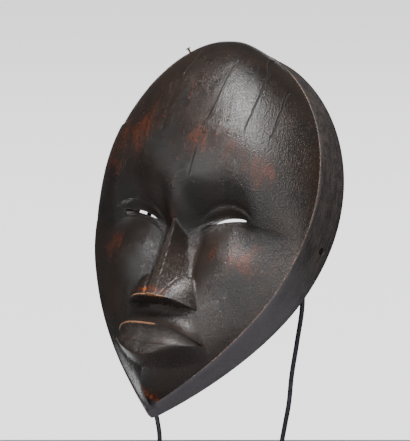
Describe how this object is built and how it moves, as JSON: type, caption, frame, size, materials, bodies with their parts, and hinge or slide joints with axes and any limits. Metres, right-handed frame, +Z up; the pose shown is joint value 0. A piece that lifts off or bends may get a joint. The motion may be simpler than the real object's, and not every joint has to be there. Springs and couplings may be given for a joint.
{
  "type": "dan mask",
  "caption": "Carved dark wooden dan face mask with narrow pierced eyes and a hollow back, leaning back on a bent black wire stand with a flat plate foot.",
  "frame": {"origin": "middle of the underside of the stand's foot", "axes": "+Z up; the face looks along -Y and leans back; +X is to the right for someone who looks at the face"},
  "size_m": [0.1654, 0.1512, 0.2875],
  "materials": {
    "carved_wood": "dark handled patina with a dull gloss, reddish brown where worn, matt and grey brown on the side band and inside",
    "tack_iron": "old iron tack, dull brown grey",
    "stand_steel": "blackened steel, satin"
  },
  "bodies": {
    "root": {"mask": "carved_wood", "rim_tack": "tack_iron", "stand_wire": "stand_steel", "stand_foot": "stand_steel"}
  },
  "joints": []
}
